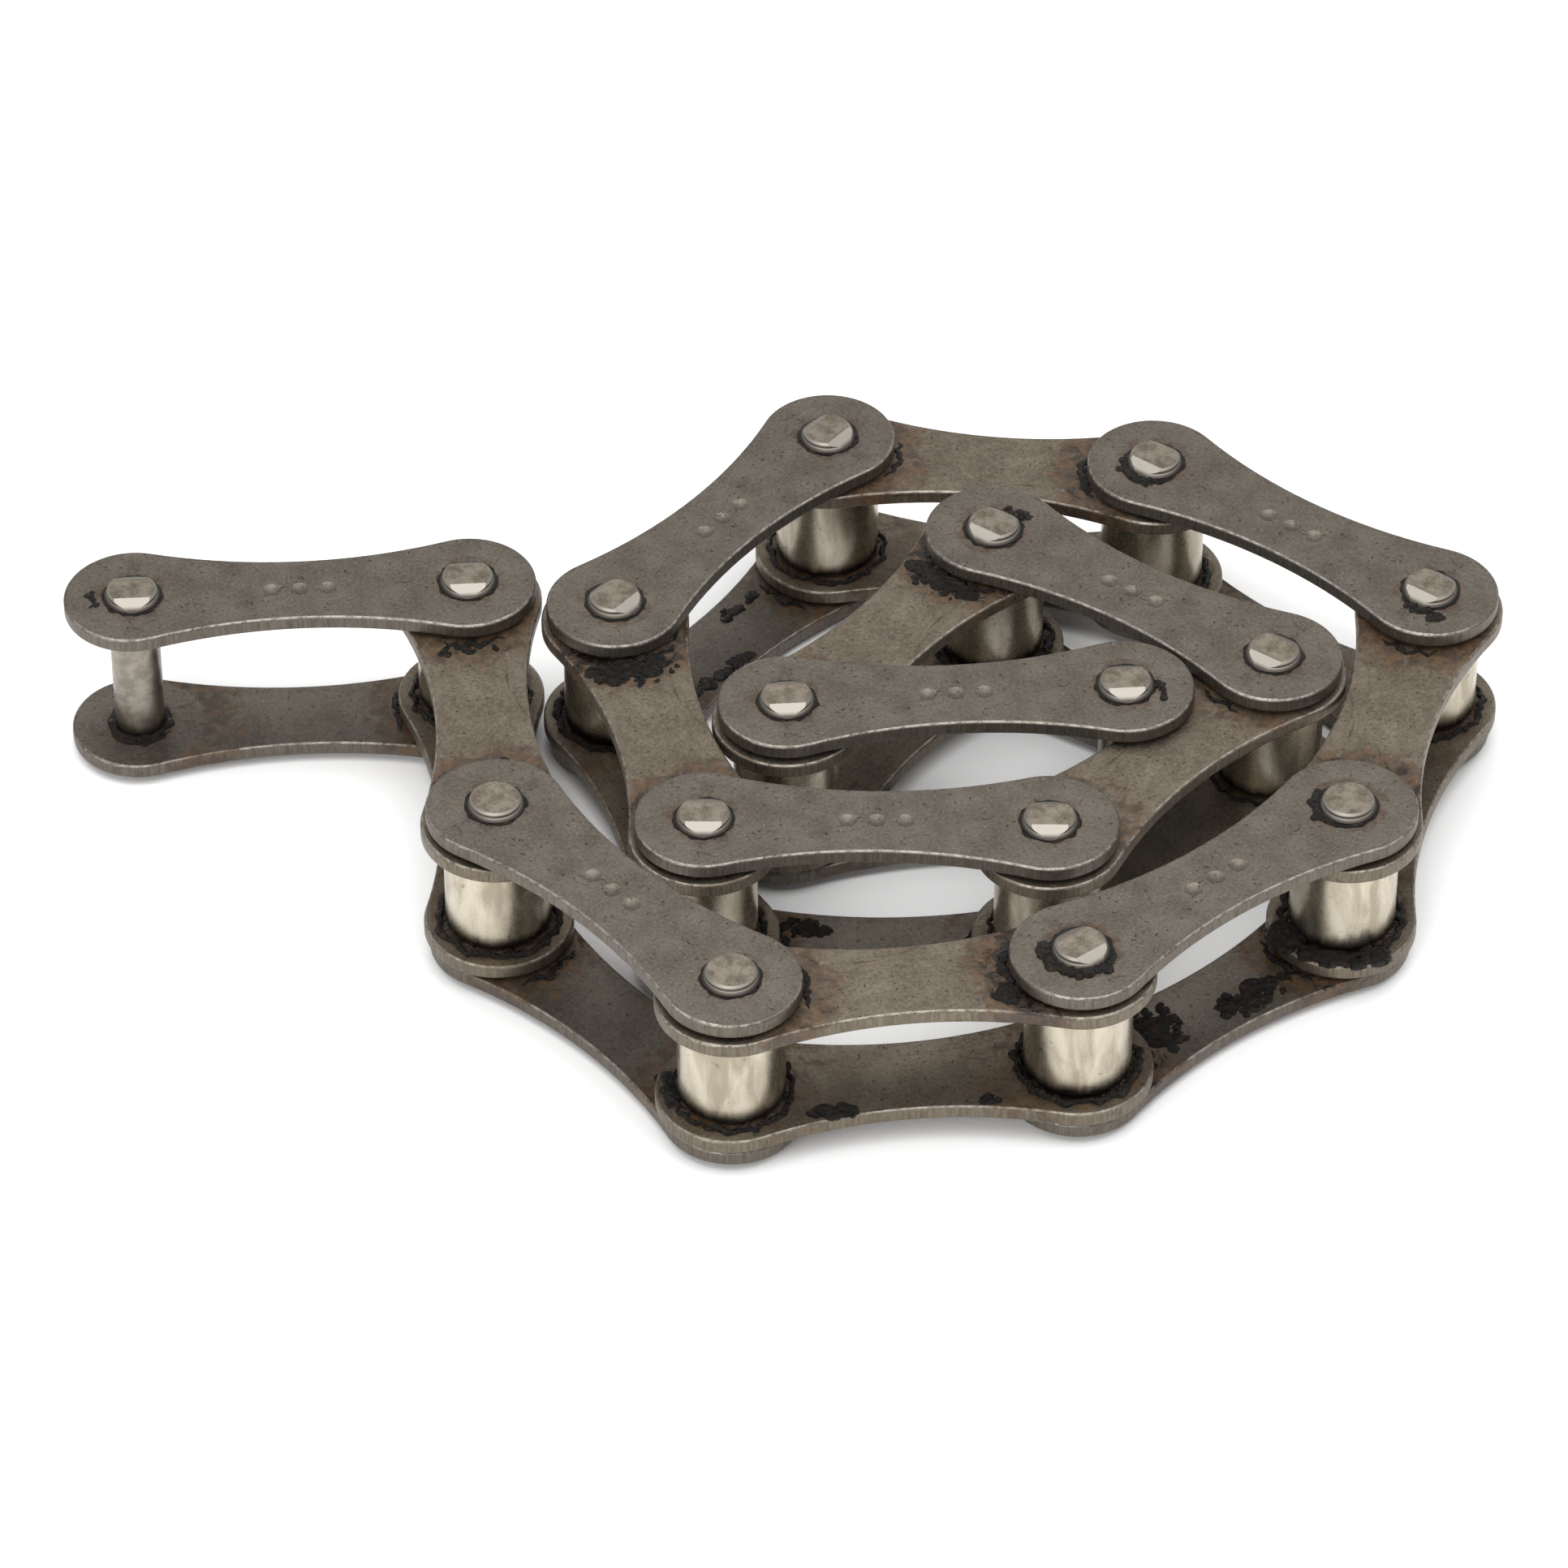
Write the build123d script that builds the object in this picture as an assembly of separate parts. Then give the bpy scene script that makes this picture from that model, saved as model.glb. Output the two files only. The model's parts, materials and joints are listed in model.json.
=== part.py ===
from build123d import *
from math import cos, hypot, radians, sin
import os

# A double-pitch roller chain of fifteen links, lying on its side in a loose coil.
# Units are millimetres. +Z is up, along the pins, and z = 0 is the surface that the chain lies on.
# The origin is the middle of the coil's box, on that surface.

# The chain's standard sizes
PITCH = 25.4
PIN_DIAMETER = 3.8
ROLLER_DIAMETER = 7.94
BUSH_WALL = 0.77
INNER_WIDTH = 8.4                # between the two inner plates of a link
PLATE_THICKNESS = 1.2

# The two figure-of-eight plates
OUTER_END_RADIUS = 5.2
OUTER_WAIST_HALF = 3.35
INNER_END_RADIUS = 5.6
INNER_WAIST_HALF = 3.55
PLATE_EDGE_ROUND = 0.22
ROLLER_EDGE_ROUND = 0.35

# Fits and gaps
PIN_IN_BUSH_CLEARANCE = 0.03     # radial
BUSH_IN_ROLLER_CLEARANCE = 0.06  # radial
ROLLER_END_GAP = 0.15            # between a roller and each inner plate
PLATE_GAP = 0.35                 # between an inner plate and the outer plate over it
BUSH_PROUD = 0.1                 # how far a bush stands out of its inner plate

# The riveted pin heads
HEAD_HEIGHT = 0.75
HEAD_COLLAR_PROUD = 0.25         # how far the swaged collar is wider than the pin
HEAD_COLLAR_HEIGHT = 0.14
HEAD_COLLAR_TAPER = 0.2
HEAD_BEVEL = 0.16
STAKED_FLAT_START = 1.1          # from the pin's axis to the inner edge of a staked flat
STAKED_FLAT_SLOPE = 0.6          # its fall over its run
ROUND_HEADED_PINS = (3, 4, 6)    # pins whose heads are plain, with no staked flats

# Three plain punch marks in the middle of each upper outer plate
PUNCH_SPACING = 2.1
PUNCH_RADIUS = 0.7
PUNCH_DEPTH = 0.14

# The coil: the way that the first link points, and how far each next link turns from the one before
FIRST_HEADING = 3.75
BENDS = (-87.5, 37.0, 53.25, 31.25, 35.25, 70.25, 29.75, 57.5, 55.25, 73.5, 48.0, 97.5, 86.75, 132.5)

# Worked out from the sizes above
PIN_RADIUS = PIN_DIAMETER / 2
BUSH_BORE_RADIUS = PIN_RADIUS + PIN_IN_BUSH_CLEARANCE
BUSH_RADIUS = BUSH_BORE_RADIUS + BUSH_WALL
ROLLER_BORE_RADIUS = BUSH_RADIUS + BUSH_IN_ROLLER_CLEARANCE
INNER_PLATE_Z = INNER_WIDTH / 2
INNER_FACE_Z = INNER_PLATE_Z + PLATE_THICKNESS
OUTER_PLATE_Z = INNER_FACE_Z + PLATE_GAP
OUTER_FACE_Z = OUTER_PLATE_Z + PLATE_THICKNESS
PIN_END_Z = OUTER_FACE_Z + HEAD_HEIGHT
LINKS = len(BENDS) + 1


def plate(end_radius, waist_half, hole_radius):
    """A figure-of-eight plate, its lower face at z = 0. The waist is one arc, tangent to both round ends."""
    half = PITCH / 2
    waist_radius = (half**2 + waist_half**2 - end_radius**2) / (2 * (end_radius - waist_half))
    waist_centre = waist_half + waist_radius
    slant = hypot(half, waist_centre)
    x = half - end_radius * half / slant
    y = end_radius * waist_centre / slant
    tip = half + end_radius
    outline = [
        ThreePointArc((x, y), (0, waist_half), (-x, y)),
        ThreePointArc((-x, y), (-tip, 0), (-x, -y)),
        ThreePointArc((-x, -y), (0, -waist_half), (x, -y)),
        ThreePointArc((x, -y), (tip, 0), (x, y)),
    ]
    blank = extrude(make_face(outline), PLATE_THICKNESS)
    blank = fillet(blank.edges().filter_by(GeomType.CIRCLE), PLATE_EDGE_ROUND)
    for side in (-half, half):
        blank -= Pos(side, 0, 0) * Cylinder(hole_radius, 3 * PLATE_THICKNESS)
    return blank


def punch_marks(blank):
    """The same plate with three shallow round dents in a row along the middle of its upper face."""
    ball_radius = (PUNCH_RADIUS**2 + PUNCH_DEPTH**2) / (2 * PUNCH_DEPTH)
    ball_z = PLATE_THICKNESS - PUNCH_DEPTH + ball_radius
    for step in (-1, 0, 1):
        blank -= Pos(step * PUNCH_SPACING, 0, ball_z) * Sphere(ball_radius)
    return blank


def staked_flats():
    """Two wedges that cut a flat on each side of a pin's upper head, along the link."""
    far = PIN_RADIUS + 2 * HEAD_COLLAR_PROUD
    drop = STAKED_FLAT_SLOPE * (far - STAKED_FLAT_START)
    corners = [(STAKED_FLAT_START, PIN_END_Z), (far, PIN_END_Z), (far, PIN_END_Z - drop)]
    wedge = extrude(Plane.YZ * make_face(Polyline(*corners, close=True)), 2 * PIN_RADIUS, both=True)
    return wedge, mirror(wedge, about=Plane.XZ)


def pin(staked):
    """A pin, centred on z = 0, with a swaged collar and a riveted head outside each outer plate."""
    collar = PIN_RADIUS + HEAD_COLLAR_PROUD
    collar_top = OUTER_FACE_Z + HEAD_COLLAR_HEIGHT
    upper = [
        (PIN_RADIUS, OUTER_FACE_Z),
        (collar, OUTER_FACE_Z),
        (collar, collar_top),
        (PIN_RADIUS, collar_top + HEAD_COLLAR_TAPER),
        (PIN_RADIUS, PIN_END_Z - HEAD_BEVEL),
        (PIN_RADIUS - HEAD_BEVEL, PIN_END_Z),
        (0, PIN_END_Z),
    ]
    lower = [(r, -z) for r, z in reversed(upper)]
    solid = revolve(Plane.XZ * make_face(Polyline(*lower, *upper, close=True)), Axis.Z)
    if staked:
        for wedge in staked_flats():
            solid = solid - wedge - mirror(wedge, about=Plane.XY)
    return solid


def tube(outer_radius, bore_radius, length, edge_round=0.0):
    """A straight tube centred on z = 0, its outer edges rounded."""
    body = Cylinder(outer_radius, length)
    if edge_round:
        body = fillet(body.edges().filter_by(GeomType.CIRCLE), edge_round)
    return body - Cylinder(bore_radius, 2 * length)


def pin_places():
    """Where each pin stands, with the middle of the whole coil's box at the origin."""
    heading = FIRST_HEADING
    places = [(0.0, 0.0)]
    for bend in BENDS + (0.0,):
        x, y = places[-1]
        places.append((x + PITCH * cos(radians(heading)), y + PITCH * sin(radians(heading))))
        heading += bend
    # the first and last pins carry only outer plates, and every other pin carries inner plates too
    reach = [OUTER_END_RADIUS] + [max(INNER_END_RADIUS, OUTER_END_RADIUS)] * (LINKS - 1) + [OUTER_END_RADIUS]
    middle = []
    for axis in (0, 1):
        low = min(place[axis] - r for place, r in zip(places, reach))
        high = max(place[axis] + r for place, r in zip(places, reach))
        middle.append((low + high) / 2)
    return [(x - middle[0], y - middle[1]) for x, y in places]


def headings():
    """The way that each link points, in degrees."""
    ways = [FIRST_HEADING]
    for bend in BENDS:
        ways.append(ways[-1] + bend)
    return ways


def save(name, *solids):
    """Write one sub-part, lifted so that the lower pin heads stand on z = 0."""
    raised = [Pos(0, 0, PIN_END_Z) * solid for solid in solids]
    shape = raised[0] if len(raised) == 1 else Compound(children=raised)
    export_step(shape, f"parts/{name}.step")


def save_outer_link(number, place, plates, pins):
    """Two outer plates and the two pins riveted through them."""
    upper, lower = plates
    name = f"link_{number:02d}"
    save(f"{name}_outer_plate_top", place * Pos(0, 0, OUTER_PLATE_Z) * upper)
    save(f"{name}_outer_plate_bottom", place * Pos(0, 0, -OUTER_FACE_Z) * lower)
    ends = [Pos(side * PITCH / 2, 0, 0) * solid for side, solid in zip((-1, 1), pins)]
    save(f"{name}_pins", *[place * solid for solid in ends])


def save_inner_link(number, place, inner_plate, bush):
    """Two inner plates and the two bushes pressed into them."""
    name = f"link_{number:02d}"
    save(f"{name}_inner_plate_top", place * Pos(0, 0, INNER_PLATE_Z) * inner_plate)
    save(f"{name}_inner_plate_bottom", place * Pos(0, 0, -INNER_FACE_Z) * inner_plate)
    save(f"{name}_bushes", *[place * Pos(side * PITCH / 2, 0, 0) * bush for side in (-1, 1)])


def main():
    os.makedirs("parts", exist_ok=True)
    outer_plate = plate(OUTER_END_RADIUS, OUTER_WAIST_HALF, PIN_RADIUS)
    marked_plate = punch_marks(outer_plate)
    inner_plate = plate(INNER_END_RADIUS, INNER_WAIST_HALF, BUSH_RADIUS)
    bush = tube(BUSH_RADIUS, BUSH_BORE_RADIUS, 2 * (INNER_FACE_Z + BUSH_PROUD))
    roller = tube(ROLLER_DIAMETER / 2, ROLLER_BORE_RADIUS, INNER_WIDTH - 2 * ROLLER_END_GAP, ROLLER_EDGE_ROUND)
    pin_kinds = {True: pin(staked=True), False: pin(staked=False)}
    places = pin_places()

    for index, heading in enumerate(headings()):
        number = index + 1
        (x0, y0), (x1, y1) = places[index], places[index + 1]
        place = Pos((x0 + x1) / 2, (y0 + y1) / 2, 0) * Rot(0, 0, heading)
        if index % 2 == 0:
            pins = [pin_kinds[at not in ROUND_HEADED_PINS] for at in (number, number + 1)]
            save_outer_link(number, place, (marked_plate, outer_plate), pins)
        else:
            save_inner_link(number, place, inner_plate, bush)

    for index in range(1, LINKS):
        save(f"roller_{index:02d}", Pos(places[index][0], places[index][1], 0) * roller)
    print("pins", [(round(x, 3), round(y, 3)) for x, y in places])


main()
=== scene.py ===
# %% [markdown]
# # A coiled roller chain
# A roller chain is a row of links. Outer links are two plates riveted onto two pins. Inner links are two
# plates pressed onto two bushes, and each bush carries a roller that turns freely. Here fifteen links lie
# on their side in a loose coil. The steel parts come from the CAD frame, so this lesson gives them their
# finish, adds the oil and dirt that gather round the joints, and sets up the light and the camera.

# %% Load the frame
import json
import random
from math import atan2, cos, pi, radians, sin

import bmesh
import bpy
from mathutils import Matrix, Vector, noise

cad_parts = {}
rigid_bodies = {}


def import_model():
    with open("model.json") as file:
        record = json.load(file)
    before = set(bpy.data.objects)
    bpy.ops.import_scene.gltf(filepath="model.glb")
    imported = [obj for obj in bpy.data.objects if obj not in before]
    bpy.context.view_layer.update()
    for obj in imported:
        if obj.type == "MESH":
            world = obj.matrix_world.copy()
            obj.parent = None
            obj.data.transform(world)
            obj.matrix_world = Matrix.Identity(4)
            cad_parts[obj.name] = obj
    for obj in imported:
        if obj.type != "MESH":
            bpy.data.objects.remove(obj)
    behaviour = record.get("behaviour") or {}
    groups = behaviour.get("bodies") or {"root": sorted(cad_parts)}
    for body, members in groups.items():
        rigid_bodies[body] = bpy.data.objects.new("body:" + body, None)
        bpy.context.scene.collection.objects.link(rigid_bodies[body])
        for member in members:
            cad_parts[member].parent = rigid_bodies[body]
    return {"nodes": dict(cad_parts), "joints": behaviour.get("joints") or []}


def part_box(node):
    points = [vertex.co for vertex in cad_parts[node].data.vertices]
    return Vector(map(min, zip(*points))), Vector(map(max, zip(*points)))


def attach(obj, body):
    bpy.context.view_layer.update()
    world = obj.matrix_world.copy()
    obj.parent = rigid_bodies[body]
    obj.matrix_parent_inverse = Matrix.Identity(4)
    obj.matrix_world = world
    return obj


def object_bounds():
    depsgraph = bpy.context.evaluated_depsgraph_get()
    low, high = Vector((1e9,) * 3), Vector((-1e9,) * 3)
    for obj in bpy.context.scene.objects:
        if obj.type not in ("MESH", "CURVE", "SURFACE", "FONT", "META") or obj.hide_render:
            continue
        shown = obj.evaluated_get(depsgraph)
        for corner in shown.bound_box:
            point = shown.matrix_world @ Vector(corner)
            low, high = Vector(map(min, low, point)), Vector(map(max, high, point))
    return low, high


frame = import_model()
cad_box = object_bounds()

# %% [markdown]
# ## Where the pins are
# Everything on a chain is placed from its pins. The joints of the frame stand on fourteen of them. The
# first and last pins carry no joint, but each is one of a pair in an end link, so it lies as far from the
# middle of that pair as the other one does. From the pins come the middle and the direction of every link.

# %% Find the pins and the links
MM = 0.001
TOP_Z = cad_box[1][2]
MID_Z = TOP_Z / 2


def middle_of(node):
    """The middle of a node's box, flattened to the middle height of the chain."""
    low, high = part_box(node)
    return Vector(((low.x + high.x) / 2, (low.y + high.y) / 2, MID_Z))


pivot_joints = [j for j in frame["joints"] if j["name"].startswith("pivot")]
pivots = [Vector(j["pos_m"]) for j in sorted(pivot_joints, key=lambda j: j["name"])]
first_pin = 2 * middle_of("link_01_pins") - pivots[0]
LINKS = len(pivots) + 1
last_pin = 2 * middle_of(f"link_{LINKS:02d}_pins") - pivots[-1]
PINS = [first_pin] + pivots + [last_pin]
PITCH = (PINS[1] - PINS[0]).length


def link_place(number):
    """The middle of a link and the angle that it points at. Links count from 1."""
    start, end = PINS[number - 1], PINS[number]
    along = end - start
    return (start + end) / 2, atan2(along.y, along.x)


def is_outer(number):
    """Odd links are outer links."""
    return number % 2 == 1


print("pins:", len(PINS), "pitch in mm:", round(PITCH / MM, 2))

# %% [markdown]
# The heights of the plates decide where dirt can lie, so they are read from the boxes of one link of each
# kind.

# %% Read the heights and radii
OUTER_TOP_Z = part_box("link_01_outer_plate_top")[1].z
OUTER_LOW_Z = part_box("link_01_outer_plate_bottom")[1].z
INNER_TOP_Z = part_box("link_02_inner_plate_top")[1].z
INNER_LOW_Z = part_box("link_02_inner_plate_bottom")[1].z
PLATE_THICKNESS = OUTER_TOP_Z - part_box("link_01_outer_plate_top")[0].z
ROLLER_RADIUS = (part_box("roller_01")[1].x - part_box("roller_01")[0].x) / 2
ROLLER_LOW_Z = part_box("roller_01")[0].z
ROLLER_TOP_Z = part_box("roller_01")[1].z
print("plate tops in mm:", [round(z / MM, 2) for z in (OUTER_TOP_Z, INNER_TOP_Z, INNER_LOW_Z, OUTER_LOW_Z)])

# %% [markdown]
# ## The camera
# A long lens at well over half a metre makes a small object look almost flat, with little perspective. The
# camera stands in front of the coil, about 42 degrees above the surface, and looks at it level.

# %% Place the camera
LENS = 192.1
SENSOR_WIDTH = 36
CAMERA_BACK = 0.46885
CAMERA_HEIGHT = 0.42719
CAMERA_ELEVATION = radians(41.94)
camera_data = bpy.data.cameras.new("camera")
camera_data.lens = LENS
camera_data.sensor_width = SENSOR_WIDTH
camera_data.clip_start = 0.01
camera = bpy.data.objects.new("camera", camera_data)
camera.location = (0, -CAMERA_BACK, CAMERA_HEIGHT)
camera.rotation_euler = (pi / 2 - CAMERA_ELEVATION, 0, 0)
bpy.context.scene.collection.objects.link(camera)
bpy.context.scene.camera = camera
bpy.context.scene.view_settings.view_transform = "Standard"
print("camera distance in m:", round(camera.location.length, 3))

# %% [markdown]
# ## Light and floor
# Steel shows what is around it, so the light matters as much as the metal. One wide soft panel overhead
# makes the rounded edges and the rivet heads shine, a weaker one in front fills the sides, and a dim pale
# sky keeps the flat faces quiet. The floor is pale and matt.


# %% Build the light and the floor
def soft_panel(name, place, size, watts):
    """A square area light that looks at the origin."""
    data = bpy.data.lights.new(name, "AREA")
    data.shape = "SQUARE"
    data.size = size
    data.energy = watts
    panel = bpy.data.objects.new(name, data)
    panel.location = place
    panel.rotation_euler = (-Vector(place)).to_track_quat("-Z", "Y").to_euler()
    bpy.context.scene.collection.objects.link(panel)
    return panel


SKY_STRENGTH = 0.55
FLOOR_HALF_SIDE = 3
FLOOR_WHITE = (0.95, 0.95, 0.95, 1)

soft_panel("overhead_panel", place=(0.05, -0.05, 0.80), size=1.0, watts=9)
soft_panel("front_panel", place=(-0.35, -0.75, 0.45), size=0.5, watts=3.5)
world = bpy.data.worlds.new("pale_sky")
world.use_nodes = True
sky = world.node_tree.nodes["Background"]
sky.inputs["Color"].default_value = (1, 1, 1, 1)
sky.inputs["Strength"].default_value = SKY_STRENGTH
bpy.context.scene.world = world

floor_mesh = bpy.data.meshes.new("floor")
bm = bmesh.new()
bmesh.ops.create_grid(bm, x_segments=1, y_segments=1, size=FLOOR_HALF_SIDE)
bm.to_mesh(floor_mesh)
bm.free()
floor_finish = bpy.data.materials.new("pale_floor")
floor_finish.use_nodes = True
floor_shader = floor_finish.node_tree.nodes["Principled BSDF"]
floor_shader.inputs["Base Color"].default_value = FLOOR_WHITE
floor_shader.inputs["Roughness"].default_value = 0.9
floor_mesh.materials.append(floor_finish)
floor = bpy.data.objects.new("floor", floor_mesh)
bpy.context.scene.collection.objects.link(floor)

# %% [markdown]
# ## Small helpers for finishes
# A finish is a small graph of nodes. These helpers add a node, fill its sockets and give back its output,
# so that each finish below reads as a recipe: a pattern, a threshold, a colour.


# %% Node helpers
def put(tree, kind, sockets=None, **settings):
    """Add a shader node. A socket's value is either a number or colour, or another node's output."""
    node = tree.nodes.new("ShaderNode" + kind)
    for key, value in settings.items():
        setattr(node, key, value)
    for key, value in (sockets or {}).items():
        if isinstance(value, bpy.types.NodeSocket):
            tree.links.new(value, node.inputs[key])
        else:
            node.inputs[key].default_value = value
    return node


def calc(tree, operation, a, b=0.0):
    """One Math node."""
    return put(tree, "Math", {0: a, 1: b}, operation=operation).outputs[0]


def plus(tree, a, b):
    """The sum of two values."""
    return calc(tree, "ADD", a, b)


def minus(tree, a, b):
    """The first value less the second."""
    return calc(tree, "SUBTRACT", a, b)


def times(tree, a, b):
    """The product of two values."""
    return calc(tree, "MULTIPLY", a, b)


def larger(tree, a, b):
    """The larger of two values."""
    return calc(tree, "MAXIMUM", a, b)


def step(tree, value, low, high, floor_value=0.0, top_value=1.0):
    """A soft step from floor_value at low to top_value at high."""
    sockets = {"Value": value, "From Min": low, "From Max": high, "To Min": floor_value, "To Max": top_value}
    return put(tree, "MapRange", sockets, interpolation_type="SMOOTHSTEP").outputs["Result"]


def mix(tree, factor, a, b):
    """Colour a where factor is 0, colour b where it is 1."""
    return put(tree, "Mix", {0: factor, 6: a, 7: b}, data_type="RGBA").outputs[2]


def speckle(tree, place, scale, detail=3.0, roughness=0.55, distortion=0.0):
    """Cloudy noise between 0 and 1. Scale is in patches per millimetre."""
    sockets = {"Vector": place, "Scale": scale, "Detail": detail, "Roughness": roughness,
               "Distortion": distortion}
    return put(tree, "TexNoise", sockets).outputs["Fac"]


def start_finish(name):
    """A new material, its node tree and its shader."""
    material = bpy.data.materials.new(name)
    material.use_nodes = True
    tree = material.node_tree
    return material, tree, tree.nodes["Principled BSDF"]


def link_up(tree, shader, **outputs):
    """Connect outputs to the shader's sockets, written with _ for a space."""
    for key, output in outputs.items():
        tree.links.new(output, shader.inputs[key.replace("_", " ")])


def relief(tree, height, strength, distance_mm):
    """A bump from a height pattern."""
    sockets = {"Height": height, "Strength": strength, "Distance": distance_mm * MM}
    return put(tree, "Bump", sockets).outputs["Normal"]


print("helpers ready")

# %% [markdown]
# ## Coordinates that follow a link
# Dirt gathers round the pins, so a plate's finish must know how far each spot is from the nearest pin. A
# Mapping node set to Texture undoes the link's place and turn and changes metres to millimetres. After it,
# x runs along the link, the pins stand at plus and minus half the pitch, and z = 0 is the middle of the
# pins.


# %% Link coordinates
HALF_PITCH = PITCH / MM / 2


def link_space(tree, number):
    """Coordinates in millimetres on link number, and the distance to the nearest pin in plan."""
    middle, heading = link_place(number)
    place = put(tree, "TexCoord").outputs["Object"]
    local = put(tree, "Mapping", {"Vector": place, "Location": middle, "Rotation": (0, 0, heading),
                                  "Scale": (MM, MM, MM)}, vector_type="TEXTURE").outputs["Vector"]
    axes = put(tree, "SeparateXYZ", {"Vector": local}).outputs
    past_pin = minus(tree, calc(tree, "ABSOLUTE", axes["X"]), HALF_PITCH)
    squares = plus(tree, times(tree, past_pin, past_pin),
                   times(tree, axes["Y"], axes["Y"]))
    return local, axes, calc(tree, "SQRT", squares)


def upward(tree):
    """How much a face looks up or down: 1 on the flat faces, 0 on the sides."""
    normal = put(tree, "NewGeometry").outputs["Normal"]
    return calc(tree, "ABSOLUTE", put(tree, "SeparateXYZ", {"Vector": normal}).outputs["Z"])


print("half pitch in mm:", round(HALF_PITCH, 2))

# %% [markdown]
# ## Where the oil goes
# Oil creeps out of a joint and catches dust, so every joint has its own amount of dirt. The amounts below
# run from 0, clean, to 1, wet and black, one for each pin from the first to the last, with smaller ones for
# the rivet heads, which get wiped. A ring of dirt has a radius from the pin, where it is thickest, and a
# reach over which it thins out. The rings in front of another plate's end lie only on the side towards the
# middle of the link.

# %% The dirt of each joint
OIL = (0.60, 0.62, 0.75, 0.62, 0.95, 0.85, 0.60, 0.80,
       0.55, 0.95, 0.70, 0.40, 0.40, 0.90, 0.50, 0.65)
# The head amounts also set how dark the rings round the rivet heads are, which are partly painted contact
# shade.
HEAD_OIL = (0.40, 0.45, 0.30, 0.30, 0.95, 0.65, 0.40, 0.60,
            0.40, 0.50, 0.40, 0.30, 0.30, 0.55, 0.40, 0.50)
OUTER_RADIUS = (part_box("link_01_outer_plate_top")[1].x - PINS[1].x) / MM
# The dark ring round each rivet head on the plate: dirt, and painted contact shade where the head meets the
# plate.
HEAD_DIRT_AND_SHADE_RING = (2.1, 1.5, HEAD_OIL)
ROLLER_RING = (ROLLER_RADIUS / MM, 1.5, OIL)
ABOVE_INNER_RING = (OUTER_RADIUS, 5.0, OIL)
BELOW_INNER_RING = (OUTER_RADIUS + 0.4, 4.5, OIL)
INWARD_RINGS = (ABOVE_INNER_RING, BELOW_INNER_RING)


def dirt_and_shade_field(tree, number, axes, pin_distance, ring, share=1.0):
    """How much dirt a ring round both pins of a link brings to each spot, from 0 to 1; for the rivet-head
    rings it is also painted contact shade.
    """
    radius, reach, oil = ring
    near = step(tree, pin_distance, radius - 1.3, radius - 0.3)
    fading = step(tree, pin_distance, radius + reach, radius)
    first, second = oil[number - 1] * share, oil[number] * share
    amount = step(tree, axes["X"], -3.0, 3.0, first, second)
    field = times(tree, times(tree, near, fading), amount)
    if ring in INWARD_RINGS:
        past_pin = minus(tree, calc(tree, "ABSOLUTE", axes["X"]), HALF_PITCH)
        field = times(tree, field, step(tree, past_pin, 0.0, -3.5))
    return field


print("oiliest joint:", max(OIL), "outer plate end radius in mm:", round(OUTER_RADIUS, 2))

# %% [markdown]
# ## Blasted plate steel
# Chain plates are stamped from strip, hardened and tumbled or blasted, which leaves a matt brown-grey face
# with a fine grain. The rounded rims rub on everything and wear a little brighter, and the cut sides keep
# fine upright streaks from the punch. All plates share this recipe: a grain, a slow change of tone, dark
# specks and painted light glints, rings of dirt that are brown outside and black and wet inside, a thin
# broken bright line on the rims that is partly wear and partly a painted highlight, and streaks on the sides.
# The normal of the surface tells the three zones apart.

# %% The zones of a plate
# Near-black of wet grease; round the rivet heads and low on the pin shanks it is also painted shade.
GREASE_AND_SHADE_BLACK = (0.012, 0.008, 0.005, 1)
OIL_BROWN = (0.040, 0.023, 0.012, 1)
RUST_BROWN = (0.090, 0.046, 0.018, 1)
SPECK_BROWN = (0.028, 0.022, 0.016, 1)
# Bright colour of the rubbed rims, which is partly a painted highlight, and of the painted glints on the flat
# faces.
WORN_AND_HIGHLIGHT_BRIGHT = (0.36, 0.34, 0.31, 1)


def dirt_and_shade_masks(tree, local, field):
    """A brown stain and its black wet core, with ragged edges, from a field of dirt; round the rivet heads
    they also paint contact shade.
    """
    ragged = speckle(tree, local, 0.85, detail=7, roughness=0.66, distortion=0.7)
    swing = times(tree, minus(tree, ragged, 0.5), 1.9)
    level = plus(tree, field, swing)
    level = times(tree, level, step(tree, field, 0.0, 0.18))
    return step(tree, level, 0.04, 0.50), step(tree, level, 0.60, 1.00)


def bare_faces(tree, local, dark, light):
    """The colour of the flat faces, and the grain and dark specks that also shape their relief."""
    cloud = speckle(tree, local, 0.30, detail=6, roughness=0.6)
    grain = speckle(tree, local, 3.6, detail=4, roughness=0.75)
    tone = plus(tree, times(tree, cloud, 0.45), times(tree, grain, 0.55))
    colour = mix(tree, step(tree, tone, 0.36, 0.64), dark, light)
    specks = step(tree, speckle(tree, local, 2.8, detail=3, roughness=0.6), 0.62, 0.69)
    colour = mix(tree, times(tree, specks, 0.75), colour, SPECK_BROWN)
    # Painted glints: small light specks of painted highlight on the flat faces.
    glints = step(tree, speckle(tree, local, 5.5, detail=2, roughness=0.6), 0.64, 0.74)
    return mix(tree, times(tree, glints, 0.45), colour, WORN_AND_HIGHLIGHT_BRIGHT), grain, specks


def punched_sides(tree, local, dark, light):
    """The colour of the cut sides, and their upright streaks."""
    streak_place = put(tree, "Mapping", {"Vector": local, "Scale": (1, 1, 0.10)}).outputs["Vector"]
    streaks = speckle(tree, streak_place, 4.5, detail=5, roughness=0.7)
    colour = mix(tree, step(tree, streaks, 0.30, 0.72), dark, light)
    pits = step(tree, streaks, 0.36, 0.28)
    return mix(tree, times(tree, pits, 0.6), colour, SPECK_BROWN), streaks


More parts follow.
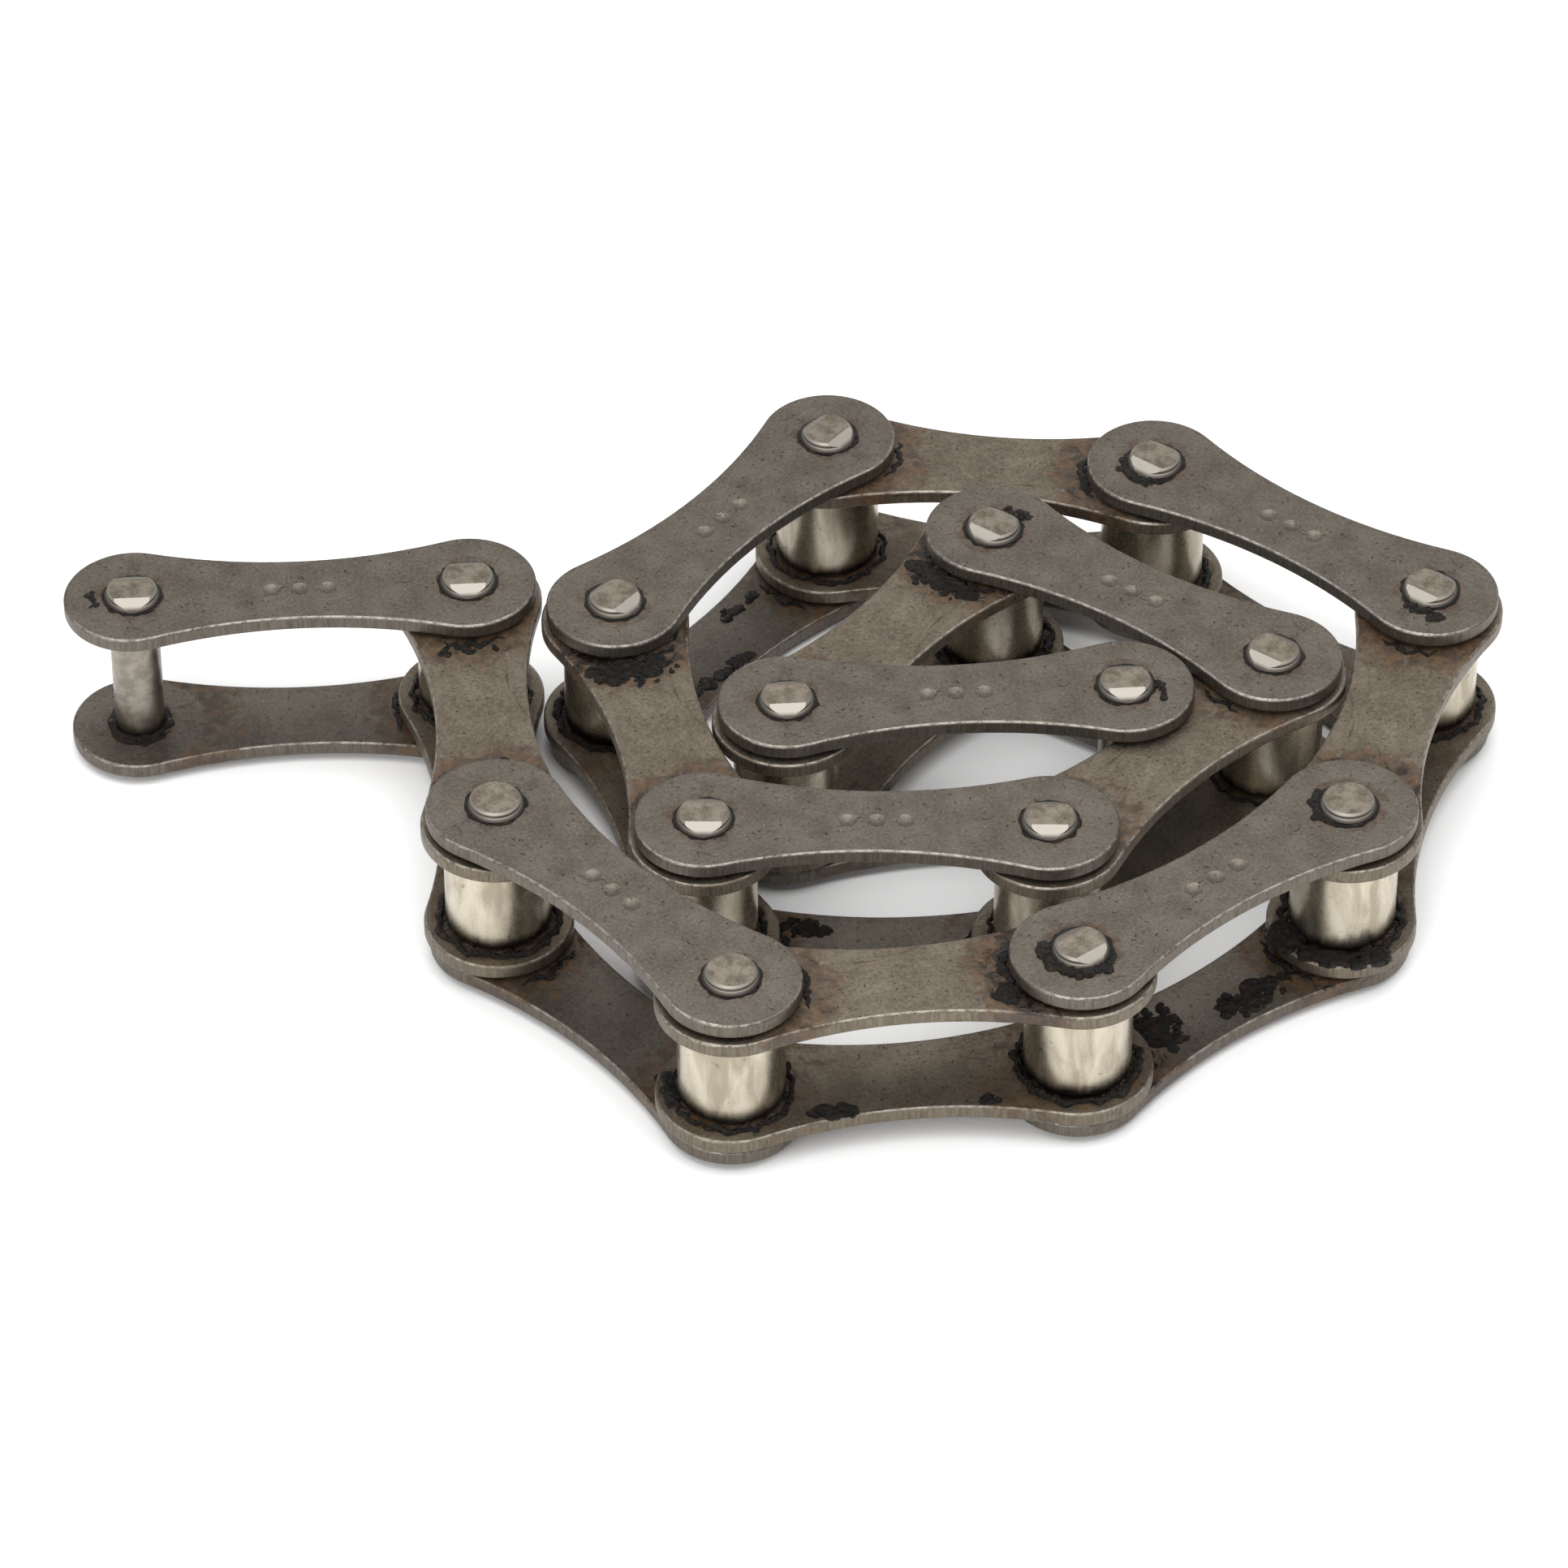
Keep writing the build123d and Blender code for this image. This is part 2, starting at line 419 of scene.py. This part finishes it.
def oil_smears(tree, local):
    """Long thin smears of oil, drawn out along the link."""
    smear_place = put(tree, "Mapping", {"Vector": local, "Scale": (0.35, 1, 1)}).outputs["Vector"]
    cloud = speckle(tree, smear_place, 0.55, detail=6, roughness=0.68, distortion=1.2)
    return step(tree, cloud, 0.57, 0.73)


def worn_and_highlit_rims(tree, local, facing, across):
    """A broken bright line on the rounded rims: partly where they have rubbed, partly a painted highlight."""
    rim = times(tree, step(tree, facing, 0.30, 0.60), step(tree, facing, 0.985, 0.93))
    rim = times(tree, rim, step(tree, calc(tree, "ABSOLUTE", across), 1.2, 2.2))
    broken = step(tree, speckle(tree, local, 1.6, detail=5, roughness=0.72), 0.38, 0.62)
    return times(tree, rim, broken)


print("zones of a plate ready")

# %% [markdown]
# The zones come together in one recipe. Dirt lies over the bare steel, so its colours are mixed in last,
# apart from the bright rims, which are partly rubbed clean and partly a painted highlight. Where it is oily
# the steel is smoother and looks less like metal.


# %% Put the plate recipe together
def plate_steel(name, number, dark, light, film, rings):
    """A finish for one plate. Film is the strength of its smears, and each ring has a share of its oil."""
    material, tree, shader = start_finish(name)
    local, axes, pin_distance = link_space(tree, number)
    facing = upward(tree)
    side = step(tree, facing, 0.35, 0.12)
    colour, grain, specks = bare_faces(tree, local, dark, light)
    side_colour, streaks = punched_sides(tree, local, dark, light)
    colour = mix(tree, side, colour, side_colour)

    field = dirt_and_shade_field(tree, number, axes, pin_distance, *rings[0])
    for ring in rings[1:]:
        field = larger(tree, field, dirt_and_shade_field(tree, number, axes, pin_distance, *ring))
    stain, black = dirt_and_shade_masks(tree, local, field)
    black = times(tree, black, minus(tree, 1.0, times(tree, side, 0.7)))
    tints = speckle(tree, local, 1.1, detail=4, roughness=0.6)
    brown = mix(tree, step(tree, tints, 0.42, 0.62), OIL_BROWN, RUST_BROWN)
    smears = oil_smears(tree, local)
    colour = mix(tree, times(tree, stain, 0.88), colour, brown)
    colour = mix(tree, times(tree, smears, film), colour, brown)
    colour = mix(tree, black, colour, GREASE_AND_SHADE_BLACK)
    clean = minus(tree, 1.0, larger(tree, black, times(tree, stain, 0.6)))
    # The bright rim line, partly wear and partly a painted highlight, left off the dirt.
    rim_wear_and_highlight = times(tree, worn_and_highlit_rims(tree, local, facing, axes["Y"]), clean)
    colour = mix(tree, times(tree, rim_wear_and_highlight, 0.75), colour, WORN_AND_HIGHLIGHT_BRIGHT)

    rough = plus(tree, 0.36, times(tree, grain, 0.24))
    for oily, drop in ((smears, 0.10), (stain, 0.16), (black, 0.18)):
        rough = minus(tree, rough, times(tree, oily, drop))
    metal = minus(tree, 0.92, times(tree, larger(tree, black, stain), 0.7))
    height = plus(tree, grain, times(tree, times(tree, side, streaks), 0.9))
    height = minus(tree, height, times(tree, specks, 0.5))
    height = plus(tree, height, times(tree, times(tree, black, tints), 9.0))
    link_up(tree, shader, Base_Color=colour, Roughness=rough, Metallic=metal,
            Normal=relief(tree, height, 0.55, 0.05))
    return material


print("plate recipe ready")

# %% [markdown]
# ## Outer and inner plates
# Outer plates are the drier ones: grey, with a small dark ring round each rivet that is partly oil creeping
# out and partly painted contact shade. Inner plates lie under them and are never wiped, so theirs is a warmer
# grey with stains just outside the rim of the outer plate. The lower plates look up at the rollers, so oil
# stands round the foot of each roller and in front of the inner plate's end. Each plate gets its own copy of
# the recipe, centred on its own pins.

# %% Finish the plates
OUTER_DARK = (0.100, 0.087, 0.071, 1)
OUTER_LIGHT = (0.175, 0.154, 0.128, 1)
INNER_DARK = (0.118, 0.097, 0.071, 1)
INNER_LIGHT = (0.215, 0.184, 0.142, 1)
PLATE_LOOKS = {
    "outer_plate_top": (OUTER_DARK, OUTER_LIGHT, 0.30, [(HEAD_DIRT_AND_SHADE_RING, 0.75)]),
    "outer_plate_bottom": (OUTER_DARK, OUTER_LIGHT, 0.55, [(HEAD_DIRT_AND_SHADE_RING, 0.8), (BELOW_INNER_RING, 0.75)]),
    "inner_plate_top": (INNER_DARK, INNER_LIGHT, 0.75, [(ABOVE_INNER_RING, 0.95)]),
    "inner_plate_bottom": (INNER_DARK, INNER_LIGHT, 0.55, [(ROLLER_RING, 1.0), (ABOVE_INNER_RING, 0.4)]),
}


def wear(node, material):
    """Put a finish on a CAD node."""
    frame["nodes"][node].data.materials.clear()
    frame["nodes"][node].data.materials.append(material)


for number in range(1, LINKS + 1):
    kind = "outer" if is_outer(number) else "inner"
    for side in ("top", "bottom"):
        node = f"link_{number:02d}_{kind}_plate_{side}"
        dark, light, film, rings = PLATE_LOOKS[f"{kind}_plate_{side}"]
        wear(node, plate_steel(f"{node}_steel", number, dark, light, film, rings))
print("plate finishes:", 2 * LINKS)

# %% [markdown]
# ## Pins
# The pins are hardened and ground, so the bare shanks are smooth. Their ends were hammered over: the flat
# top is dull and slightly brown, the bevel and the staked flats are burnished, and the foot of the head is
# painted near black, partly dirt and partly painted contact shade.


# %% Finish the pins
SHANK_DARK = (0.20, 0.180, 0.148, 1)
SHANK_LIGHT = (0.32, 0.29, 0.245, 1)
TOP_DARK = (0.150, 0.123, 0.092, 1)
TOP_LIGHT = (0.280, 0.245, 0.200, 1)
BURNISHED = (0.33, 0.305, 0.27, 1)


def pin_steel(number):
    """A finish for the two pins of one outer link."""
    material, tree, shader = start_finish(f"pin_steel_{number:02d}")
    local, axes, pin_distance = link_space(tree, number)
    facing = upward(tree)
    height = calc(tree, "ABSOLUTE", axes["Z"])
    face_z = (OUTER_TOP_Z - MID_Z) / MM

    cloud = speckle(tree, local, 0.9, detail=4)
    fine = speckle(tree, local, 5.0, detail=3, roughness=0.7)
    colour = mix(tree, step(tree, cloud, 0.35, 0.65), SHANK_DARK, SHANK_LIGHT)
    on_head = step(tree, height, face_z, face_z + 0.15)
    flat_top = times(tree, step(tree, facing, 0.985, 0.999), on_head)
    tone = plus(tree, times(tree, cloud, 0.6), times(tree, fine, 0.4))
    top_colour = mix(tree, step(tree, tone, 0.38, 0.62), TOP_DARK, TOP_LIGHT)
    bevel = minus(tree, on_head, flat_top)
    colour = mix(tree, flat_top, colour, top_colour)
    colour = mix(tree, times(tree, bevel, 0.85), colour, BURNISHED)
    # The foot of the head is painted near black: partly dirt, partly painted contact shade.
    foot = times(tree, step(tree, height, face_z + 0.42, face_z + 0.18), on_head)
    colour = mix(tree, times(tree, foot, 0.85), colour, GREASE_AND_SHADE_BLACK)
    # Painted shade: the shank is painted near black towards its low end, down at the lower plate.
    shank_low_painted_shade = step(tree, axes["Z"], -4.2, -5.6)
    colour = mix(tree, times(tree, shank_low_painted_shade, 0.8), colour, GREASE_AND_SHADE_BLACK)
    rough = plus(tree, 0.29, times(tree, flat_top, 0.10))
    rough = plus(tree, rough, times(tree, bevel, 0.16))
    rough = plus(tree, rough, times(tree, cloud, 0.12))
    link_up(tree, shader, Base_Color=colour, Roughness=rough, Normal=relief(tree, fine, 0.25, 0.03))
    shader.inputs["Metallic"].default_value = 0.95
    return material


for number in range(1, LINKS + 1, 2):
    wear(f"link_{number:02d}_pins", pin_steel(number))
print("pin finishes:", len(range(1, LINKS + 1, 2)))

# %% [markdown]
# ## Rollers and bushes
# Rollers run on the sprocket teeth, so they are polished and wear a thin film of old oil that turns them
# warm. Dark oil gathers at both ends of each one. The bushes are hidden inside and only need a plain oiled
# steel.


# %% Finish the rollers and bushes
ROLLER_DARK = (0.34, 0.295, 0.220, 1)
ROLLER_LIGHT = (0.56, 0.51, 0.41, 1)
BLOT_BROWN = (0.10, 0.060, 0.030, 1)
END_OIL = (0.025, 0.018, 0.012, 1)
BUSH_DARK = (0.06, 0.045, 0.03, 1)
BUSH_LIGHT = (0.25, 0.22, 0.18, 1)


def millimetres(tree):
    """Coordinates in millimetres, straight from the object's own."""
    place = put(tree, "TexCoord").outputs["Object"]
    return put(tree, "Mapping", {"Vector": place, "Scale": (1 / MM, 1 / MM, 1 / MM)}).outputs["Vector"]


def roller_steel():
    """One finish for all rollers, from the height and an upright cloudy pattern."""
    material, tree, shader = start_finish("roller_steel")
    place = millimetres(tree)
    height = put(tree, "SeparateXYZ", {"Vector": place}).outputs["Z"]
    upright = put(tree, "Mapping", {"Vector": place, "Scale": (1, 1, 0.3)}).outputs["Vector"]
    cloud = speckle(tree, upright, 0.6, detail=4, distortion=0.4)
    fine = speckle(tree, place, 2.5, detail=4, roughness=0.7)
    colour = mix(tree, step(tree, cloud, 0.34, 0.66), ROLLER_DARK, ROLLER_LIGHT)
    blots = step(tree, speckle(tree, place, 0.9, detail=5, roughness=0.65), 0.60, 0.72)
    colour = mix(tree, times(tree, blots, 0.5), colour, BLOT_BROWN)
    wavy = times(tree, minus(tree, cloud, 0.5), 0.9)
    level = plus(tree, height, wavy)
    foot = step(tree, level, ROLLER_LOW_Z / MM + 1.5, ROLLER_LOW_Z / MM + 0.3)
    crown = step(tree, level, ROLLER_TOP_Z / MM - 1.1, ROLLER_TOP_Z / MM - 0.1)
    oil = larger(tree, foot, crown)
    colour = mix(tree, times(tree, oil, 0.9), colour, END_OIL)
    rough = plus(tree, 0.20, times(tree, fine, 0.16))
    link_up(tree, shader, Base_Color=colour, Roughness=rough, Normal=relief(tree, fine, 0.15, 0.03))
    shader.inputs["Metallic"].default_value = 0.95
    return material


def bush_steel():
    """Plain oiled steel with a faint cloudiness."""
    material, tree, shader = start_finish("bush_steel")
    place = millimetres(tree)
    cloud = speckle(tree, place, 1.2, detail=4)
    colour = mix(tree, step(tree, cloud, 0.35, 0.65), BUSH_DARK, BUSH_LIGHT)
    link_up(tree, shader, Base_Color=colour, Roughness=step(tree, cloud, 0.3, 0.7, 0.25, 0.4))
    shader.inputs["Metallic"].default_value = 0.9
    return material


roller_finish, bush_finish = roller_steel(), bush_steel()
for number in range(1, LINKS):
    wear(f"roller_{number:02d}", roller_finish)
for number in range(2, LINKS, 2):
    wear(f"link_{number:02d}_bushes", bush_finish)
print("rollers:", LINKS - 1)

# %% [markdown]
# ## Old grease
# Chain grease picks up dust and metal and dries to a black, lumpy crust that still glints where it is wet.
# It is not metal: nearly black with brown edges, fairly smooth, with a coarse relief that breaks up the
# highlights.


# %% The grease finish
def old_grease():
    """Black crusted grease with wet glints."""
    material, tree, shader = start_finish("old_grease")
    place = millimetres(tree)
    lumps = speckle(tree, place, 1.7, detail=6, roughness=0.62)
    patches = speckle(tree, place, 0.9, detail=4)
    colour = mix(tree, step(tree, lumps, 0.42, 0.68), (0.004, 0.003, 0.002, 1), (0.012, 0.008, 0.005, 1))
    colour = mix(tree, step(tree, patches, 0.58, 0.72), colour, (0.035, 0.016, 0.007, 1))
    link_up(tree, shader, Base_Color=colour, Roughness=step(tree, patches, 0.42, 0.66, 0.08, 0.24),
            Normal=relief(tree, lumps, 1.0, 0.80))
    shader.inputs["Specular IOR Level"].default_value = 0.4
    return material


grease_finish = old_grease()
print("grease finish ready")

# %% [markdown]
# ## Shapes of grease
# Each small shape is made by itself and then poured into its piece, because operators are slow on a big
# mesh. A crust round a rivet or along the rim of a plate is a thin bead bent into an arc. It starts as one
# small circle, squashed to the bead's section and spun round the pin. Then every point moves by a noise, so
# the bead swells and thins, and an arc dies away at both ends. A clod is a small ball, squashed, roughened
# by the same noise and flat underneath, and a smear is a handful of clods scattered over a patch.

# %% Beads and clods
PLATE_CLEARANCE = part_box("link_01_outer_plate_top")[0].z - INNER_TOP_Z
CRUST = 0.7 * PLATE_CLEARANCE / MM
BEAD_SIDES = 10
BEAD_STEP = 0.2           # between two sections of a bead
FEWEST_STEPS = 12
LOWEST_SWELL = 0.04
HIGHEST_SWELL = 1.7
LUMP_LIMIT = 1.25         # how high a lump may stand, as a share of its height
CLOD_SINK = 0.02          # how far a clod reaches into the face under it


def lumpiness(point, seed):
    """A noise of about -1 to 1 with lumps of a millimetre and grains of a third of that."""
    shifted = point / MM + Vector((seed * 7.1, seed * 3.3, 0))
    return 0.7 * noise.fractal(shifted / 0.9, 1.0, 2.0, 3) + 0.4 * noise.noise(shifted / 0.28)


def pour(part, bm):
    """Move one small shape into the bmesh of its piece, and hand the small one back."""
    mesh = bpy.data.meshes.new("part")
    part.to_mesh(mesh)
    part.free()
    bm.from_mesh(mesh)
    bpy.data.meshes.remove(mesh)


def bead(bm, pin, z, radius, width, height, start=0.0, sweep=2 * pi, seed=0, down=False):
    """Add a lumpy bead to bm, on the plane z and at radius from the pin. Lengths are in millimetres."""
    whole = abs(sweep - 2 * pi) < 1e-6
    part = bmesh.new()
    made = bmesh.ops.create_circle(part, cap_ends=not whole, segments=BEAD_SIDES,
                                    radius=1.0)["verts"]
    bmesh.ops.scale(part, vec=(width / 2 * MM, height * MM, 1), verts=made)
    bmesh.ops.rotate(part, cent=(0, 0, 0), matrix=Matrix.Rotation(pi / 2, 3, "X"), verts=made)
    bmesh.ops.translate(part, vec=(radius * MM, 0, 0), verts=made)
    bmesh.ops.rotate(part, cent=(0, 0, 0), matrix=Matrix.Rotation(start, 3, "Z"), verts=made)
    steps = max(FEWEST_STEPS, int(abs(sweep) * radius / BEAD_STEP))
    bmesh.ops.spin(part, geom=part.verts[:] + part.edges[:] + part.faces[:], cent=(0, 0, 0), axis=(0, 0, 1),
                   angle=sweep, steps=steps, use_merge=whole)
    for v in part.verts:
        around = atan2(v.co.y, v.co.x)
        share = ((around - start + 1e-4) % (2 * pi)) / sweep
        swell = 1.0 if whole else max(0.0, sin(pi * min(share, 1.0))) ** 0.6
        spine = Vector((cos(around), sin(around), 0)) * radius * MM
        wander = 1 + 0.10 * noise.noise(spine / MM / 0.7 + Vector((0, 0, seed * 5.3)))
        size = swell * (1.0 + 0.9 * lumpiness(v.co + pin, seed))
        offset = (v.co - spine) * min(max(size, LOWEST_SWELL), HIGHEST_SWELL)
        v.co = spine * wander + offset
        v.co.z = min(max(v.co.z, 0.0), LUMP_LIMIT * height * MM) * (-1 if down else 1)
    bmesh.ops.translate(part, vec=(pin.x, pin.y, z), verts=part.verts)
    pour(part, bm)


def clod(bm, place, size, height, seed):
    """Add one lump at a place on a flat face. Size and height are in millimetres."""
    part = bmesh.new()
    bmesh.ops.create_icosphere(part, subdivisions=2, radius=1.0)
    for v in part.verts:
        v.co *= 1.0 + 0.5 * lumpiness(v.co * MM * 1.2, seed)
    narrow = 0.6 + 0.4 * abs(sin(seed * 1.7))
    bmesh.ops.scale(part, vec=(size / 2 * MM, size / 2 * narrow * MM, height * MM), verts=part.verts)
    bmesh.ops.rotate(part, cent=(0, 0, 0), matrix=Matrix.Rotation(seed * 2.4, 3, "Z"), verts=part.verts)
    for v in part.verts:
        v.co.z = min(max(v.co.z, -CLOD_SINK * MM), LUMP_LIMIT * height * MM)
    bmesh.ops.translate(part, vec=place, verts=part.verts)
    pour(part, bm)


def smear(bm, number, along, across, z, reach, count, size, height):
    """Scatter clods over an oval patch on link number. Along and across are from the link's middle, in mm."""
    middle, heading = link_place(number)
    turn = Matrix.Rotation(heading, 3, "Z")
    draw = random.Random(1000 * number + round(10 * along) + round(100 * across))
    for _ in range(count):
        angle, far = draw.uniform(0, 2 * pi), draw.random() ** 0.5
        spot = Vector((along + cos(angle) * far * reach[0], across + sin(angle) * far * reach[1], 0)) * MM
        place = middle + turn @ spot
        place.z = z
        clod(bm, place, size * draw.uniform(0.5, 1.4), height * draw.uniform(0.5, 1.0), draw.uniform(0, 9))


def grease_piece(name, body, build):
    """Make one grease object from a function that fills a bmesh, and let it ride on a body."""
    mesh = bpy.data.meshes.new(name)
    bm = bmesh.new()
    build(bm)
    bmesh.ops.remove_doubles(bm, verts=bm.verts, dist=0.0005 * MM)
    bmesh.ops.dissolve_degenerate(bm, edges=bm.edges, dist=0.0005 * MM)
    bmesh.ops.recalc_face_normals(bm, faces=bm.faces)
    bm.to_mesh(mesh)
    bm.free()
    mesh.materials.append(grease_finish)
    for polygon in mesh.polygons:
        polygon.use_smooth = True
    piece = bpy.data.objects.new(name, mesh)
    bpy.context.scene.collection.objects.link(piece)
    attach(piece, body)
    return piece


print("crust height in mm:", round(CRUST, 2))

# %% [markdown]
# ## Grease on the outer links
# Each rivet head has a thin dark ring of grease at its foot, which also stands in for painted contact shade,
# and the wet ones have a lumpier crust set towards the front, partly as painted shade. The oilier the head,
# the wider the crust. On the lower plate, grease lies in front of the ends of the inner plates, and a bare
# end pin has a ring at its foot.

# %% Grease the outer links
# The side towards the camera; the head crusts are set here partly as painted shade.
FRONT = -pi / 2
WET_HEAD = 0.6


def head_crusts(bm, number):
    """A ring round each rivet head on the upper face of an outer link, and a crust round the wet ones; both
    are grease that also stands in for painted contact shade.
    """
    for pin_number in (number - 1, number):
        pin, oil = PINS[pin_number], HEAD_OIL[pin_number]
        # A thin dark bead at the foot of every head: grease, and painted contact shade.
        bead(bm, pin, OUTER_TOP_Z, 2.2, 0.2 + 0.2 * oil, 0.10, seed=pin_number)
        if oil < WET_HEAD:
            continue
        sweep = pi * (0.35 + 0.8 * oil)
        start = FRONT - sweep / 2 + 0.9 * sin(pin_number * 2.3) - 0.4
        bead(bm, pin, OUTER_TOP_Z, 2.3 + 0.15 * oil, 0.35 + 0.55 * oil, 0.16 + 0.14 * oil, start, sweep,
             seed=20 + pin_number)
        for side in range(round(9 * oil)):
            turn = start + sweep * (0.15 + 0.7 * side / 9)
            place = pin + Vector((cos(turn), sin(turn), 0)) * (2.45 + 0.35 * sin(side * 4.1)) * MM
            place.z = OUTER_TOP_Z
            clod(bm, place, 0.55 + 0.5 * oil, 0.14 + 0.12 * oil, pin_number + side * 0.37)


def underside_rings(bm, number):
    """Rings round the lower rivet heads, under the lower outer plate."""
    low_face = OUTER_LOW_Z - PLATE_THICKNESS
    for pin_number in (number - 1, number):
        pin, oil = PINS[pin_number], OIL[pin_number]
        bead(bm, pin, low_face, 2.25, 0.3 + 0.4 * oil, 0.15, seed=40 + pin_number, down=True)


def lower_plate_grease(bm, number):
    """Grease on the lower outer plate: in front of the inner plates, or round a bare end pin."""
    heading = link_place(number)[1]
    for pin_number, inward in ((number - 1, heading), (number, heading + pi)):
        pin, oil = PINS[pin_number], OIL[pin_number]
        if pin_number in (0, LINKS):
            bead(bm, pin, OUTER_LOW_Z, 2.1, 0.7, 0.3, seed=60 + pin_number)
            bead(bm, pin, OUTER_LOW_Z, 2.5, 0.5, 0.15, FRONT - 1.2, 2.4, seed=80 + pin_number)
            continue
        sweep = radians(25 + 40 * oil)
        start = inward - sweep / 2
        bead(bm, pin, OUTER_LOW_Z, OUTER_RADIUS + 0.65, 0.3 + 0.45 * oil, CRUST * 0.9, start, sweep,
             seed=100 + pin_number)


# Each patch: its place along and across the link, the face it lies on, its half widths along and across,
# and the number, width and height of its clods.
OUTER_SMEARS = {
    1: [
        (-15.7, -0.3, OUTER_TOP_Z, (0.4, 0.9), 8, 0.5, 0.18),
    ],
    5: [
        (-14.7, 0.5, OUTER_TOP_Z, (0.7, 1.5), 26, 0.9, 0.24),
        (-5.0, 0.6, OUTER_LOW_Z, (1.4, 2.0), 16, 1.3, 0.3),
        (-4.4, 0.2, OUTER_LOW_Z, (2.0, 2.6), 36, 0.7, 0.36),
        (2.9, -1.2, OUTER_LOW_Z, (2.6, 0.9), 16, 1.5, 0.28),
        (2.9, -1.4, OUTER_LOW_Z, (3.6, 1.4), 40, 0.7, 0.34),
    ],
    7: [
        (-13.6, 2.4, OUTER_TOP_Z, (1.6, 0.5), 20, 0.8, 0.22),
        (12.2, 2.5, OUTER_TOP_Z, (1.2, 0.4), 12, 0.6, 0.2),
    ],
    9: [
        (3.0, 2.2, OUTER_LOW_Z, (4.0, 0.5), 26, 1.0, 0.14),
        (-4.0, -2.0, OUTER_LOW_Z, (2.4, 0.5), 18, 0.9, 0.16),
    ],
    11: [
        (-5.7, 1.9, OUTER_LOW_Z, (2.6, 0.9), 40, 0.8, 0.24),
    ],
    13: [
        (12.4, -2.5, OUTER_TOP_Z, (1.4, 0.4), 12, 0.6, 0.2),
    ],
    15: [
        (15.3, -0.6, OUTER_TOP_Z, (0.4, 1.2), 12, 0.6, 0.2),
    ],
}


def outer_link_grease(bm, number):
    """All the grease on one outer link."""
    underside_rings(bm, number)
    head_crusts(bm, number)
    lower_plate_grease(bm, number)
    for patch in OUTER_SMEARS.get(number, []):
        smear(bm, number, *patch)


for number in range(1, LINKS + 1, 2):
    grease_piece(f"link_{number:02d}_grease", f"link_{number:02d}",
                 lambda bm, number=number: outer_link_grease(bm, number))
print("outer links greased:", len(range(1, LINKS + 1, 2)))

# %% [markdown]
# ## Grease on the inner links
# Oil runs down each roller and stands in a ring round its foot, on the lower inner plate. On the upper
# plate it is pushed out from under the outer plate's end into an arc of crust. The arcs stay lower than the
# gap between the plates, so the outer plates can swing over them.

# %% Grease the inner links
INNER_SMEARS = {
    2: [
        (-6.6, -0.6, INNER_TOP_Z, (0.5, 2.4), 14, 0.6, 0.12),
        (6.4, 0.8, INNER_TOP_Z, (0.4, 1.6), 8, 0.6, 0.1),
    ],
    4: [
        (-17.2, 0.3, INNER_LOW_Z, (0.4, 1.9), 22, 0.8, 0.35),
        (7.0, -2.4, INNER_TOP_Z, (0.8, 0.8), 22, 1.0, 0.22),
        (-5.6, -3.3, INNER_LOW_Z, (1.7, 0.4), 26, 1.1, 0.3),
        (6.0, -3.2, INNER_LOW_Z, (0.8, 0.3), 10, 0.8, 0.25),
    ],
    6: [
        (-16.2, 3.4, INNER_LOW_Z, (1.0, 1.0), 26, 1.5, 0.55),
        (-17.4, -0.4, INNER_LOW_Z, (0.4, 2.2), 34, 1.3, 0.5),
        (-16.0, -3.4, INNER_LOW_Z, (1.0, 1.0), 20, 1.3, 0.5),
    ],
    10: [
        (-6.6, -0.6, INNER_TOP_Z, (0.9, 3.0), 44, 1.2, 0.22),
        (-6.0, 0.4, INNER_TOP_Z, (1.6, 2.8), 40, 0.5, 0.2),
    ],
    14: [
        (-6.9, -0.6, INNER_TOP_Z, (0.7, 3.2), 40, 1.1, 0.22),
        (-6.5, -0.4, INNER_TOP_Z, (1.2, 3.0), 50, 0.5, 0.2),
    ],
}


def inner_link_grease(bm, number):
    """All the grease on one inner link."""
    heading = link_place(number)[1]
    for pin_number, inward in ((number - 1, heading), (number, heading + pi)):
        pin, oil = PINS[pin_number], OIL[pin_number]
        foot = ROLLER_RADIUS / MM + 0.32 + 0.25 * oil
        bead(bm, pin, INNER_LOW_Z, foot, 0.25 + 0.35 * oil, 0.16 + 0.22 * oil, seed=140 + pin_number)
        sweep = radians(20 + 50 * oil)
        start = inward - sweep / 2 + 0.25 * sin(pin_number * 3.1)
        bead(bm, pin, INNER_TOP_Z, OUTER_RADIUS + 0.35, 0.3 + 0.5 * oil, CRUST * 0.9, start, sweep,
             seed=180 + pin_number)
    for patch in INNER_SMEARS.get(number, []):
        smear(bm, number, *patch)


for number in range(2, LINKS, 2):
    grease_piece(f"link_{number:02d}_grease", f"link_{number:02d}",
                 lambda bm, number=number: inner_link_grease(bm, number))
grease_faces = sum(len(o.data.polygons) for o in bpy.data.objects if o.name.endswith("_grease"))
print("grease faces:", grease_faces)
